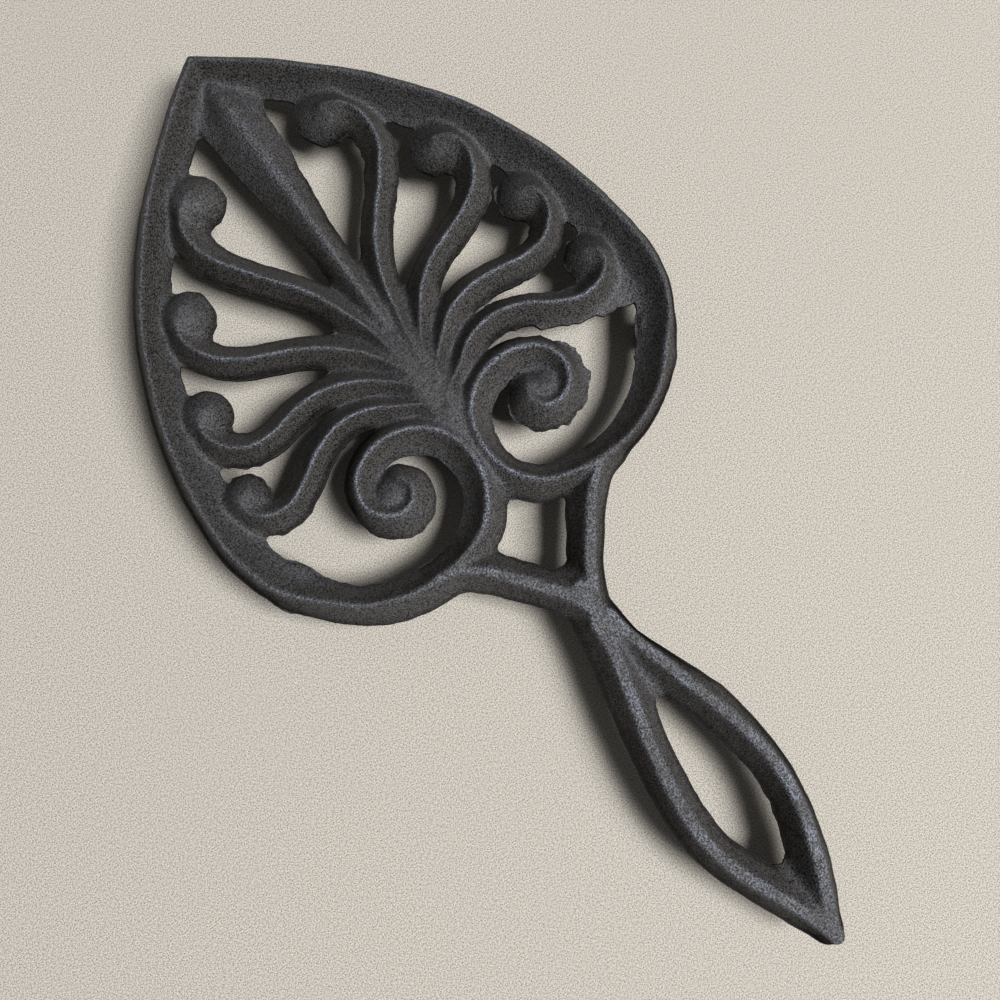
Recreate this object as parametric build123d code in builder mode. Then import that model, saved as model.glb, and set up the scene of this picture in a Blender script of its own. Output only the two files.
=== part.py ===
"""Cast-iron trivet: a palmette in a pointed heart-shaped rim, on three pegs, with a leaf-shaped loop handle.

Plan view in X and Y, the rim's point towards +Y, the handle towards -Y, the table at Z = 0.
Every bar of the pattern is a ridge: a crest on top, with two drafted flanks down to a flat back.
A crest is a run of tangent arcs through a few plan points, from a heading in degrees at the first one.
The right half is drawn, and the left half is its mirror image.
"""

import os
from math import atan2, cos, degrees, radians, sin

from build123d import *

# Heights
foot_height = 12.0
ridge_height = 8.0
lug_height = 5.0

# Section of a pattern ridge: crest on top, plan width of each flank
crest_width = 1.6
flank_spread = 3.2
rim_outer_spread = 3.0
rim_inner_spread = 4.8

# Section of the flat-topped bars of the neck and the handle
bar_width = 2.8
bar_spread = 3.2
stem_width = 4.6
arm_outer_spread = 2.6
arm_inner_spread = 4.1

# Crest of the rim, from its foot up the side to its point
rim_foot = (56.7, 24.0)
rim_heading = 90.3
rim_crest = [(54.5, 45.0), (45.0, 71.0), (25.5, 96.4)]
tip_reach = 117.6
tip_overrun = 14.0

# Crest of the lobe at the rim's foot, which goes on as the volute round its eye
lobe_crest = [(52.5, 9.0), (40.0, -3.3), (24.0, -8.0), (12.0, -6.0)]
volute_crest = [(2.0, 6.5), (6.0, 19.5), (17.0, 23.4), (26.8, 15.0), (21.5, 8.2), (16.4, 12.5)]
eye_place = (20.4, 12.4)
eye_radius = 4.6
eye_top_radius = 1.6

# Fronds, middle one first: crest points out from the hub, and the heading at the first point
frond_crests = [
    [(3.0, 42.0), (13.5, 65.9), (18.4, 72.2), (22.8, 80.0)],
    [(6.5, 39.5), (20.4, 51.6), (28.0, 55.2), (34.9, 60.3)],
    [(7.0, 32.0), (20.4, 40.0), (31.5, 39.0), (40.7, 39.9)],
    [(6.0, 25.0), (20.8, 31.7), (29.3, 28.8), (40.5, 23.6)],
]
frond_headings = [76.0, 53.0, 58.0, 52.0]

# Bulb that each frond curls into: place, radius at the back and radius on top
bulb_places = [(17.4, 93.5), (34.0, 72.3), (43.6, 51.6), (47.3, 31.2)]
bulb_radii = [6.6, 6.1, 5.5, 5.0]
bulb_top_radius = 2.0

# Spear along the middle: half widths at the back and on top, and where they stand
spear_start = 44.0
spear_neck_place = 62.0
spear_neck_half_width = 3.8
spear_belly_setback = 20.6
spear_belly_half_width = 7.2
spear_end_setback = 2.6
spear_crest_half_width = 1.6
spear_crest_end_setback = 9.6

# Hub, the fan where spear and fronds run together: right half of its outline
hub_start = 15.0
hub_end = 51.0
hub_side = [(6.0, 22.5), (9.0, 28.0), (10.5, 33.5), (10.0, 40.0), (7.5, 46.0), (4.5, 50.0)]

# Neck bars, stem and handle arms
stem_start = -27.0
stem_heading = -90.0
stem_length = 17.0
bar_overlap = 3.0
neck_top = (17.5, -7.6)
neck_middle = (9.3, -18.6)
neck_bottom_offset = 1.0
neck_heading = -127.0
arm_start_offset = 1.8
arm_crest = [(9.4, -66.5), (10.8, -82.0), (7.0, -101.0), (-2.0, -120.15)]
arm_heading = -71.0

# Pegs the trivet stands on, and the lugs that carry the rear pair
foot_top_radius = 4.2
foot_tip_radius = 3.2
rear_foot_place = (50.0, 9.5)
front_foot_setback = 5.6
lug_radius = 5.4

back_level = foot_height
crest_level = back_level + ridge_height
os.makedirs("parts", exist_ok=True)


def turned(heading):
    """Unit vector of a plan heading in degrees."""
    return Vector(cos(radians(heading)), sin(radians(heading)))


def bend(start, stop, heading):
    """Centre, turn and end heading of the arc that leaves one plan point on a heading and meets the next."""
    chord = Vector(*stop) - Vector(*start)
    half_turn = (degrees(atan2(chord.Y, chord.X)) - heading + 180) % 360 - 180
    radius = chord.length / (2 * sin(radians(half_turn)))
    centre = Vector(*start) + turned(heading + 90) * radius
    return centre, 2 * half_turn, heading + 2 * half_turn


def ridge_section(place, heading, top_width, left_spread, right_spread):
    """Section across a ridge: flat back, drafted flanks left and right of the heading, narrow top."""
    half_top = top_width / 2
    across = Plane(origin=place, x_dir=turned(heading + 90), z_dir=turned(heading))
    with BuildSketch(across) as section:
        with BuildLine():
            Polyline(
                (-half_top - right_spread, back_level),
                (-half_top, crest_level),
                (half_top, crest_level),
                (half_top + left_spread, back_level),
                close=True,
            )
        make_face()
    return section.sketch


def ridge(points, heading, top_width, left_spread, right_spread):
    """Ridge over tangent arcs through plan points. Gives the heading at its end."""
    for start, stop in zip(points, points[1:]):
        section = ridge_section(start, heading, top_width, left_spread, right_spread)
        centre, turn, heading = bend(start, stop, heading)
        revolve(section, axis=Axis(centre, (0, 0, turn)), revolution_arc=abs(turn))
    return heading


def straight_ridge(start, heading, length, top_width, left_spread, right_spread):
    """Straight ridge from a plan point along a heading."""
    extrude(ridge_section(start, heading, top_width, left_spread, right_spread), amount=length)


def cut_away(*neighbours):
    """Give up the room that the neighbouring pieces already fill."""
    for neighbour in neighbours:
        add(neighbour.part, mode=Mode.SUBTRACT)


def write(piece, name):
    """Label a piece and write it."""
    piece.part.label = name
    export_step(piece.part, f"parts/{name}.step")


def mirrored(piece):
    """The left-hand twin of a right-hand piece."""
    with BuildPart() as twin:
        add(piece.part)
        mirror(about=Plane.YZ, mode=Mode.REPLACE)
    return twin


def write_pair(piece, name):
    """Write a right-hand piece and its left-hand twin, and give the twin back."""
    twin = mirrored(piece)
    write(piece, f"{name}_right")
    write(twin, f"{name}_left")
    return twin


# Rim side: a ridge whose inner flank is wide, mitred at the point
rim_tip = (0.0, tip_reach)
rim_points = [rim_foot, *rim_crest, rim_tip]
with BuildPart() as rim:
    tip_heading = ridge(rim_points, rim_heading, crest_width, rim_inner_spread, rim_outer_spread)
    straight_ridge(rim_tip, tip_heading, tip_overrun, crest_width, rim_inner_spread, rim_outer_spread)
    split(bisect_by=Plane.YZ, keep=Keep.TOP)
rim_twin = write_pair(rim, "rim")

# Lobe: the rim's ridge turning in under the palmette, with the lug of the rear foot
lobe_points = [rim_foot, *lobe_crest]
with BuildPart() as lobe:
    volute_heading = ridge(lobe_points, rim_heading - 180, crest_width, rim_outer_spread, flank_spread)
    with Locations((*rear_foot_place, back_level)):
        Cylinder(lug_radius, lug_height, align=(Align.CENTER, Align.CENTER, Align.MIN))
    cut_away(rim)
write_pair(lobe, "lobe")

# Volute: the same ridge curling up and inwards round a low domed eye
volute_points = [lobe_crest[-1], *volute_crest]
with BuildPart() as volute:
    ridge(volute_points, volute_heading, crest_width, rim_outer_spread, flank_spread)
    with Locations((*eye_place, back_level)):
        Cone(eye_radius, eye_top_radius, ridge_height, align=(Align.CENTER, Align.CENTER, Align.MIN))
    split(bisect_by=Plane.YZ, keep=Keep.TOP)
    cut_away(lobe)
volute_twin = write_pair(volute, "volute")

# Hub: the fan of metal above the volutes
with BuildPart() as hub:
    with BuildSketch(Plane.XY.offset(back_level)):
        with BuildLine():
            Polyline((0, hub_start), *hub_side, (0, hub_end), close=True)
        make_face()
        mirror(about=Plane.YZ)
    extrude(amount=ridge_height)
    cut_away(volute, volute_twin)
write(hub, "palmette_hub")

# Spear: the middle leaf, from the hub to the rim's point
spear_outlines = [
    (back_level, spear_neck_half_width, spear_belly_half_width, tip_reach - spear_end_setback),
    (crest_level, crest_width / 2, spear_crest_half_width, tip_reach - spear_crest_end_setback),
]
spear_belly_place = tip_reach - spear_belly_setback
with BuildPart() as spear:
    for level, neck_half, belly_half, end in spear_outlines:
        with BuildSketch(Plane.XY.offset(level)):
            with BuildLine():
                Polyline(
                    (0, spear_start),
                    (neck_half, spear_start),
                    (neck_half, spear_neck_place),
                    (belly_half, spear_belly_place),
                )
                TangentArc((belly_half, spear_belly_place), (0, end), tangent=(0, 1))
                mirror(about=Plane.YZ)
            make_face()
    loft(ruled=True)
    cut_away(hub, rim, rim_twin)
write(spear, "spear")

# Fronds: S-shaped ridges that curl into a bulb against the rim
inner_piece = spear
frond_sizes = zip(frond_crests, frond_headings, bulb_places, bulb_radii)
for number, (crest, heading, place, radius) in enumerate(frond_sizes, start=1):
    with BuildPart() as frond:
        ridge([*crest, place], heading, crest_width, flank_spread, flank_spread)
        with Locations((*place, back_level)):
            Cone(radius, bulb_top_radius, ridge_height, align=(Align.CENTER, Align.CENTER, Align.MIN))
        cut_away(hub, rim, lobe, volute, inner_piece)
    write_pair(frond, f"frond_{number}")
    inner_piece = frond

# Stem: the short solid bar between the neck and the handle loop
with BuildPart() as stem:
    straight_ridge((0, stem_start), stem_heading, stem_length, stem_width, bar_spread, bar_spread)
write(stem, "handle_stem")

# Neck bars: the two lower sides of the window between the volutes and the stem
neck_points = [neck_top, neck_middle, (neck_bottom_offset, stem_start - bar_overlap)]
with BuildPart() as neck_bar:
    ridge(neck_points, neck_heading, bar_width, bar_spread, bar_spread)
    split(bisect_by=Plane.YZ, keep=Keep.TOP)
    cut_away(lobe, volute, stem)
write_pair(neck_bar, "neck_bar")

# Handle arms: the two halves of the leaf-shaped loop, mitred at its end
arm_points = [(arm_start_offset, stem_start - stem_length + bar_overlap), *arm_crest]
with BuildPart() as arm:
    ridge(arm_points, arm_heading, bar_width, arm_outer_spread, arm_inner_spread)
    split(bisect_by=Plane.YZ, keep=Keep.TOP)
    cut_away(stem)
write_pair(arm, "handle_arm")

# Feet: tapered pegs under the two lugs and under the rim's point
with BuildPart() as rear_foot:
    with Locations(rear_foot_place):
        Cone(foot_tip_radius, foot_top_radius, foot_height, align=(Align.CENTER, Align.CENTER, Align.MIN))
write_pair(rear_foot, "rear_foot")

with BuildPart() as front_foot:
    with Locations((0, tip_reach - front_foot_setback)):
        Cone(foot_tip_radius, foot_top_radius, foot_height, align=(Align.CENTER, Align.CENTER, Align.MIN))
write(front_foot, "front_foot")
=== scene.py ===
"""Looks of a cast-iron trivet: a palmette in a pointed heart-shaped rim, with a leaf-shaped loop handle.

The casting is drawn in plan, in millimetres, as ridges along crest lines and domes at their ends. Their
heights run together over one fine grid, as they do in the sand mould, and the grid is then divided
into closed pieces, one for each solid of the part. The pegs underneath are made by Geometry Nodes.
"""

import logging
import math
from dataclasses import dataclass, field
from enum import Enum
from typing import Any, Iterator, Sequence

import bpy
import numpy as np
from mathutils import Euler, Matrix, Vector


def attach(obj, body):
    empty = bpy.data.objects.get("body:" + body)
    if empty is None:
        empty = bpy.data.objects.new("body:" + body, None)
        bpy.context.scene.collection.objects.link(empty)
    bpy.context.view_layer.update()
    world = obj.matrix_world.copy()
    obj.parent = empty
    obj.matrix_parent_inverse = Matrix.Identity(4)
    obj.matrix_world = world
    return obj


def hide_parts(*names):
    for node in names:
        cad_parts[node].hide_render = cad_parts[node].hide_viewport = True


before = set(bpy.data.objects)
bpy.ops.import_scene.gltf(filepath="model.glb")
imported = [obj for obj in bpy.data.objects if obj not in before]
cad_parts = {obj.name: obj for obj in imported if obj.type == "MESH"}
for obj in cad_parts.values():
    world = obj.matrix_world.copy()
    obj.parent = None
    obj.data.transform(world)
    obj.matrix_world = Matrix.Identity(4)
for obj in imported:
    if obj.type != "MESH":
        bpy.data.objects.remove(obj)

LOG = logging.getLogger("trivet")
MM = 0.001
Array = np.ndarray
Socket = bpy.types.NodeSocket
Pair = tuple[float, float]
Triple = tuple[float, float, float]
Points = Sequence[Pair]
Sizes = Sequence[float]


class Side(Enum):
    """The two mirrored halves of the pattern."""

    LEFT = "left"
    RIGHT = "right"


def per_side(left: Any, right: Any) -> Any:
    """Dataclass field with one value for each half of the pattern."""
    return field(default_factory=lambda: {Side.LEFT: left, Side.RIGHT: right})


class Crown(Enum):
    """Ridge sections, in mm: half width of the level top, easing into the flank, hollow of each flank."""

    FROND = (0.10, 0.32, 0.15, 0.15)
    RIM = (0.15, 0.34, -0.60, 0.75)
    BAR = (0.95, 0.55, 0.15, 0.15)
    STEM = (1.60, 0.80, 0.20, 0.20)
    LEAF = (0.00, 1.20, -0.45, -0.45)
    FAN = (2.50, 3.50, 0.00, 0.00)
    PLATE = (50.0, 0.30, 0.00, 0.00)

    def fall(self, away: Array, reach: Array, on_left: Array, top: Array | float) -> tuple[Array, Array]:
        """Fall of the section below its crest.

        Args:
            away: Plan distance from the crest line, in mm.
            reach: Plan distance at which the flank meets the back, in mm.
            on_left: True on the left flank.
            top: Half width of the level top, in mm.

        Returns:
            The share of the full fall, and the extra sag of the flank in mm.
        """
        _, easing, hollow_left, hollow_right = self.value
        run = np.maximum(away - top, 0.0)
        whole = np.maximum(reach - top, 0.6)
        ease = np.minimum(easing, 0.45 * whole)
        share = (np.sqrt(run**2 + ease**2) - ease) / (np.sqrt(whole**2 + ease**2) - ease)
        sag = np.where(on_left, hollow_left, hollow_right) * np.sin(np.pi * np.clip(run / whole, 0.0, 1.0))
        return share, sag


@dataclass(frozen=True)
class Heights:
    """Levels of the casting above the table, in mm."""

    back: float = 12.0
    crest: float = 20.0
    land: float = 0.9

    @property
    def rise(self) -> float:
        """Height of the ridges above the back."""
        return self.crest - self.back


LEVELS = Heights()
# Height and edge of a member, in mm, where it has no metal
ABSENT = -20.0


def smooth_max(first: Array, second: Array, blend: Array | float) -> Array:
    """Larger of two arrays, with a fillet where they cross.

    Args:
        first: One array.
        second: Other array of the same shape.
        blend: Difference within which the two run together.

    Returns:
        The blended array.
    """
    near = np.clip(blend - np.abs(first - second), 0.0, None) / blend
    return np.maximum(first, second) + near * near * blend * 0.25


def smooth_step(low: float, high: float, value: Array) -> Array:
    """Ramp from 0 at low to 1 at high with level ends."""
    share = np.clip((value - low) / (high - low), 0.0, 1.0)
    return share * share * (3.0 - 2.0 * share)


def soften(values: Array, weight: Array, cells: int, rounds: int) -> Array:
    """Mean of neighbouring values inside the casting.

    Args:
        values: Values on the grid.
        weight: 1 inside the casting and 0 outside.
        cells: Half width of the window, in grid cells.
        rounds: How many times the window is run.

    Returns:
        The softened values.
    """
    for axis in (0, 1) * rounds:
        total = np.zeros_like(values)
        share = np.zeros_like(values)
        for shift in range(-cells, cells + 1):
            total += np.roll(values * weight, shift, axis)
            share += np.roll(weight, shift, axis)
        values = total / np.maximum(share, 1e-6)
    return values


def open_edges(faces: Array) -> Array:
    """Edges that only one triangle uses.

    Args:
        faces: Triangles.

    Returns:
        Start and stop of each open edge, in its triangle's direction.
    """
    edges = np.concatenate([faces[:, [0, 1]], faces[:, [1, 2]], faces[:, [2, 0]]])
    pair = np.sort(edges, axis=1).astype(np.int64)
    number = pair[:, 0] * (pair.max() + 1) + pair[:, 1]
    _, back_to, times = np.unique(number, return_inverse=True, return_counts=True)
    return edges[times[back_to] == 1]


@dataclass
class PlanGrid:
    """Fine plan grid over the casting, in mm, symmetric about the middle plane."""

    step: float = 0.25
    half_width: float = 62.5
    half_length: float = 124.5
    x: Array = field(init=False)
    y: Array = field(init=False)

    def __post_init__(self) -> None:
        """Lay out the columns and rows."""
        columns = int(round(self.half_width / self.step))
        rows = int(round(self.half_length / self.step))
        across = np.arange(-columns, columns + 1) * self.step
        along = np.arange(-rows, rows + 1) * self.step
        self.x, self.y = np.meshgrid(across, along)

    def ripple(self, seed: int, wavelength: float) -> Array:
        """Smooth random field between about -1 and 1.

        Args:
            seed: Seed of the random values.
            wavelength: Spacing of the random values, in mm.

        Returns:
            Values on the grid.
        """
        dice = np.random.default_rng(seed)
        columns = int(2 * self.half_width / wavelength) + 4
        rows = int(2 * self.half_length / wavelength) + 4
        knots = dice.uniform(-1.0, 1.0, (rows, columns))
        u = (self.x + self.half_width) / wavelength + 1.0
        v = (self.y + self.half_length) / wavelength + 1.0
        i, j = v.astype(int), u.astype(int)
        a, b = v - i, u - j
        a, b = a * a * (3 - 2 * a), b * b * (3 - 2 * b)
        low = knots[i, j] * (1 - b) + knots[i, j + 1] * b
        high = knots[i + 1, j] * (1 - b) + knots[i + 1, j + 1] * b
        return low * (1 - a) + high * a


@dataclass
class Crest:
    """A smooth plan line through a few points, with sizes given at those points."""

    points: Points
    spacing: float = 0.7

    def line(self) -> tuple[Array, Array]:
        """Points along the line, and the place of each one counted in given points.

        Returns:
            Plan points, and their places.
        """
        given = np.array(self.points, float)
        chord = np.maximum(np.linalg.norm(np.diff(given, axis=0), axis=1), 1e-6)
        slope = np.diff(given, axis=0) / chord[:, None]
        lead = np.empty_like(given)
        lead[0], lead[-1] = slope[0], slope[-1]
        if len(given) > 2:
            before, after = chord[:-1, None], chord[1:, None]
            lead[1:-1] = (slope[:-1] * after + slope[1:] * before) / (before + after)
            lead[0] = 1.5 * slope[0] - 0.5 * lead[1]
            lead[-1] = 1.5 * slope[-1] - 0.5 * lead[-2]
        drawn, places = [], []
        for index, length in enumerate(chord):
            count = max(int(math.ceil(length / self.spacing)), 2)
            t = np.linspace(0.0, 1.0, count, endpoint=index == len(chord) - 1)[:, None]
            start, stop = given[index], given[index + 1]
            pull, push = lead[index] * length, lead[index + 1] * length
            drawn.append(
                (2 * t**3 - 3 * t**2 + 1) * start
                + (t**3 - 2 * t**2 + t) * pull
                + (3 * t**2 - 2 * t**3) * stop
                + (t**3 - t**2) * push
            )
            places.append(index + t[:, 0])
        return np.concatenate(drawn), np.concatenate(places)


@dataclass
class PlanView:
    """Plan positions in mm, the raggedness of a cast edge there, and the names that number the nodes."""

    x: Array
    y: Array
    burr: Array
    names: list[str]

    def seen_from(self, side: Side) -> "PlanView":
        """The same view for a member drawn in the right half, mirrored for the left one."""
        if side is Side.RIGHT:
            return self
        return PlanView(-self.x[:, ::-1], self.y[:, ::-1], self.burr[:, ::-1], self.names)


@dataclass
class Shape:
    """One member on the grid: height, edge, node of each spot, wear and painted sheen of its crest, whose
    lack brings painted shade, and fillet of its edge.
    """

    height: Array
    margin: Array
    node: Array
    polish_and_sheen: Array
    notch: Array


@dataclass
class Ridge:
    """A ridge along a crest line. Sizes are given at the crest's points, or once for all of them.

    Left and right are seen along the crest in the right half of the pattern. Later nodes take over at a
    place along the crest, counted in its points.
    """

    node: str
    points: Points
    crown: Crown
    left: Sizes | float
    right: Sizes | float
    sink: Sizes | float = 0.0
    burr_left: Sizes | float = 0.3
    burr_right: Sizes | float = 0.3
    half_only: bool = False
    fillet: float = 1.8
    notch: Sizes | float = 2.4
    top: Sizes | None = None
    # Wear with painted sheen on the crest; where it is low the piece gets painted shade
    polish_and_sheen: Sizes | float = 1.0
    later: dict[str, float] = field(default_factory=dict)

    def sized(self, sizes: Sizes | float, places: Array) -> Array:
        """Size at each place along the crest."""
        given = np.atleast_1d(np.asarray(sizes, float))
        if len(given) == 1:
            return np.full_like(places, given[0])
        return np.interp(places, np.arange(len(given)), given)

    def shape(self, view: PlanView) -> Shape:
        """Lay the ridge out over plan positions.

        Args:
            view: Plan positions, with columns and rows in rising order.

        Returns:
            The ridge's shape.
        """
        x, y = view.x, view.y
        line, places = Crest(self.points).line()
        far = float(max(np.max(self.left), np.max(self.right))) + 2.5
        away = np.full(x.shape, 1e3)
        place = np.zeros(x.shape)
        turn = np.zeros(x.shape)
        across, along = x[x.shape[0] // 2], y[:, y.shape[1] // 2]
        for index in range(len(line) - 1):
            start, stop = line[index], line[index + 1]
            low, high = np.minimum(start, stop) - far - 1.5, np.maximum(start, stop) + far + 1.5
            rows = slice(np.searchsorted(along, low[1]), np.searchsorted(along, high[1]))
            columns = slice(np.searchsorted(across, low[0]), np.searchsorted(across, high[0]))
            dx, dy = x[rows, columns] - start[0], y[rows, columns] - start[1]
            ux, uy = stop - start
            share = np.clip((dx * ux + dy * uy) / (ux * ux + uy * uy), 0.0, 1.0)
            gap = np.hypot(dx - share * ux, dy - share * uy)
            nearer = gap < away[rows, columns]
            away[rows, columns] = np.where(nearer, gap, away[rows, columns])
            spot = places[index] + share * (places[index + 1] - places[index])
            place[rows, columns] = np.where(nearer, spot, place[rows, columns])
            turn[rows, columns] = np.where(nearer, ux * dy - uy * dx, turn[rows, columns])
        on_left = turn > 0
        reach = np.where(on_left, self.sized(self.left, place), self.sized(self.right, place))
        ragged = np.where(on_left, self.sized(self.burr_left, place), self.sized(self.burr_right, place))
        top = self.crown.value[0] if self.top is None else self.sized(self.top, place)
        share, sag = self.crown.fall(away, reach, on_left, top)
        sink = self.sized(self.sink, place)
        height = LEVELS.rise - sink - (LEVELS.rise - sink - LEVELS.land) * share - sag
        margin = reach - away + ragged * view.burr
        missing = away > far
        if self.half_only:
            missing |= x < 0
        height[missing], margin[missing] = ABSENT, ABSENT
        node = np.full(x.shape, view.names.index(self.node))
        for name, begin in self.later.items():
            node = np.where(place >= begin, view.names.index(name), node)
        return Shape(height, margin, node, self.sized(self.polish_and_sheen, place), self.sized(self.notch, place))


@dataclass
class Dome:
    """A rounded boss whose top may stand off the middle of its foot."""

    node: str
    place: Pair
    radius: float
    top: float
    lean: Pair = (0.0, 0.0)
    fullness: float = 0.3
    burr: float = 0.3
    fillet: float = 2.6
    notch: float = 2.4
    # Wear with painted sheen on the top; where it is low the dome gets painted shade
    polish_and_sheen: float = 0.3

    def shape(self, view: PlanView) -> Shape:
        """Lay the dome out over plan positions.

        Args:
            view: Plan positions.

        Returns:
            The dome's shape.
        """
        x, y = view.x, view.y
        dx, dy = x - self.place[0] - self.lean[0], y - self.place[1] - self.lean[1]
        away = np.maximum(np.hypot(dx, dy), 1e-6)
        lean_along = (dx * self.lean[0] + dy * self.lean[1]) / away
        lean_square = self.lean[0] ** 2 + self.lean[1] ** 2
        reach = -lean_along + np.sqrt(lean_along**2 - lean_square + self.radius**2)
        share = away / reach
        rounded = np.clip(1.0 - share**2, 0.0, 1.0) ** self.fullness
        height = LEVELS.land + (self.top - LEVELS.land) * rounded
        margin = self.radius - np.hypot(x - self.place[0], y - self.place[1]) + self.burr * view.burr
        missing = margin < -2.5
        height = np.where(share > 1.0, LEVELS.land - 3.0 * (share - 1.0) * self.radius, height)
        height[missing], margin[missing] = ABSENT, ABSENT
        node = np.full(x.shape, view.names.index(self.node))
        return Shape(height, margin, node, np.full(x.shape, self.polish_and_sheen), np.full(x.shape, self.notch))


Member = Ridge | Dome


@dataclass
class Rim:
    """Rim, lobe and volute: one unbroken ridge on each side, from the point round to the volute's eye."""

    tip: Pair = (-0.4, 119.0)
    overrun: Pair = (-11.5, 126.9)
    side: Points = ((17.9, 104.4), (32.9, 89.3), (45.0, 71.6), (52.9, 51.8), (56.4, 32.0), (56.4, 21.5))
    lobe: Points = ((52.9, 10.6), (46.5, 3.1), (40.6, -2.4), (32.6, -6.3), (23.6, -7.9), (15.2, -7.0))
    volute: Points = (
        (7.9, -3.7), (3.2, 2.0), (1.7, 8.4), (3.2, 15.6), (7.5, 20.7), (13.8, 23.2), (20.6, 22.5),
        (25.4, 18.9), (26.8, 14.4), (25.4, 10.6), (21.8, 8.2), (18.2, 8.8), (16.5, 12.0), (17.8, 14.6),
    )
    outer: Sizes = (3.7, 3.7, 3.7, 3.7, 3.5, 3.4, 3.4, 3.3)
    outer_lobe: Sizes = (2.7, 2.5, 2.8, 3.3, 3.5, 3.6)
    lobe_extra: dict[Side, Sizes] = per_side(
        (0.4, 1.7, 1.8, 2.0, 1.9, 1.0), (-0.2, 1.4, 0.1, -0.5, -0.7, -0.5)
    )
    outer_volute: Sizes = (5.0, 4.6, 4.3, 4.3, 4.0, 3.8, 3.6, 3.4, 3.4, 4.3, 5.1, 5.2, 4.6, 4.0)
    volute_end_sink: Sizes = (0.2, 0.8, 1.8)
    inner_side: Sizes = (4.4, 4.4, 4.3, 4.6, 5.8, 7.0, 6.4)
    side_extra: dict[Side, Sizes] = per_side((0.0,) * 7, (0.0, 1.0, 1.8, 1.8, 1.0, 0.0, 0.0))
    inner_lobe: dict[Side, Sizes] = per_side((6.0, 4.9, 4.3, 4.3, 4.1, 4.2), (6.0, 5.6, 5.3, 4.9, 4.3, 4.2))
    inner_volute: float = 4.9
    volute_slim: dict[Side, Sizes] = per_side(
        (0.0,) * 5 + (0.6, 0.9, 0.9, 0.6, 0.2) + (0.0,) * 4, (1.0, 1.3, 0.8, 0.2) + (0.0,) * 10
    )
    lug_place: Pair = (50.0, 9.5)
    lug_radius: dict[Side, float] = per_side(5.0, 3.9)
    lug_top: dict[Side, float] = per_side(2.0, 1.2)
    web: Points = ((0.0, 1.8), (0.0, 8.0), (0.0, 14.0), (0.0, 20.0))
    web_sink: Sizes = (2.8, 2.3, 1.9, 1.3)
    web_reach: float = 4.6
    eye_place: Pair = (20.6, 12.0)
    eye_radius: float = 5.2
    eye_top: float = 5.8
    flash: Points = ((31.0, 26.6), (38.0, 23.6), (44.5, 21.0), (51.0, 20.0))
    flash_reach: float = 3.6
    flash_rise: float = 1.3
    eye_flash_place: Pair = (24.8, 13.0)
    eye_flash_radius: float = 7.2

    def members(self, side: Side) -> Iterator[Member]:
        """Members of one half of the rim.

        Args:
            side: Half of the pattern.

        Yields:
            The long ridge, the lug of the rear peg, the web between the volutes, the eye and any flash.
        """
        rim, lobe, volute = (f"{part}_{side.value}" for part in ("rim", "lobe", "volute"))
        straight, bent, curled = 2 + len(self.side), len(self.lobe), len(self.volute)
        inner_side = [size + extra for size, extra in zip(self.inner_side, self.side_extra[side])]
        inner_volute = [self.inner_volute - slim for slim in self.volute_slim[side]]
        outer_lobe = [size + extra for size, extra in zip(self.outer_lobe, self.lobe_extra[side])]
        level_run = straight + bent + curled - len(self.volute_end_sink)
        yield Ridge(
            rim,
            [self.overrun, self.tip, *self.side, *self.lobe, *self.volute],
            Crown.RIM,
            [*self.outer, *outer_lobe, *self.outer_volute],
            [inner_side[0], *inner_side, *self.inner_lobe[side], *inner_volute],
            [0.0] * level_run + list(self.volute_end_sink),
            [0.10] * (straight + bent) + [0.25] * 6 + [0.60] * (curled - 6),
            0.25,
            half_only=True,
            later={lobe: straight - 1.3, volute: straight + bent - 0.6},
            polish_and_sheen=[0.2] * straight + [0.4] * bent + [1.0] * (curled - 2) + [0.6, 0.3],
        )
        yield Dome(lobe, self.lug_place, self.lug_radius[side], self.lug_top[side], fullness=0.25)
        reach = self.web_reach
        yield Ridge(
            volute, self.web, Crown.FAN, reach, reach, self.web_sink, half_only=True, top=(0.4,), polish_and_sheen=0.3
        )
        place, radius = self.eye_place, self.eye_radius
        yield Dome(volute, place, radius, self.eye_top, fullness=0.6, burr=0.4, fillet=1.6)
        if side is Side.RIGHT:
            reach, top = self.flash_reach, self.flash_rise
            frond = f"frond_4_{side.value}"
            yield Ridge(frond, self.flash, Crown.PLATE, reach, reach, LEVELS.rise - top, 0.5, 0.5, notch=0.6)
            yield Dome(volute, self.eye_flash_place, self.eye_flash_radius, top, burr=1.0)


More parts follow.
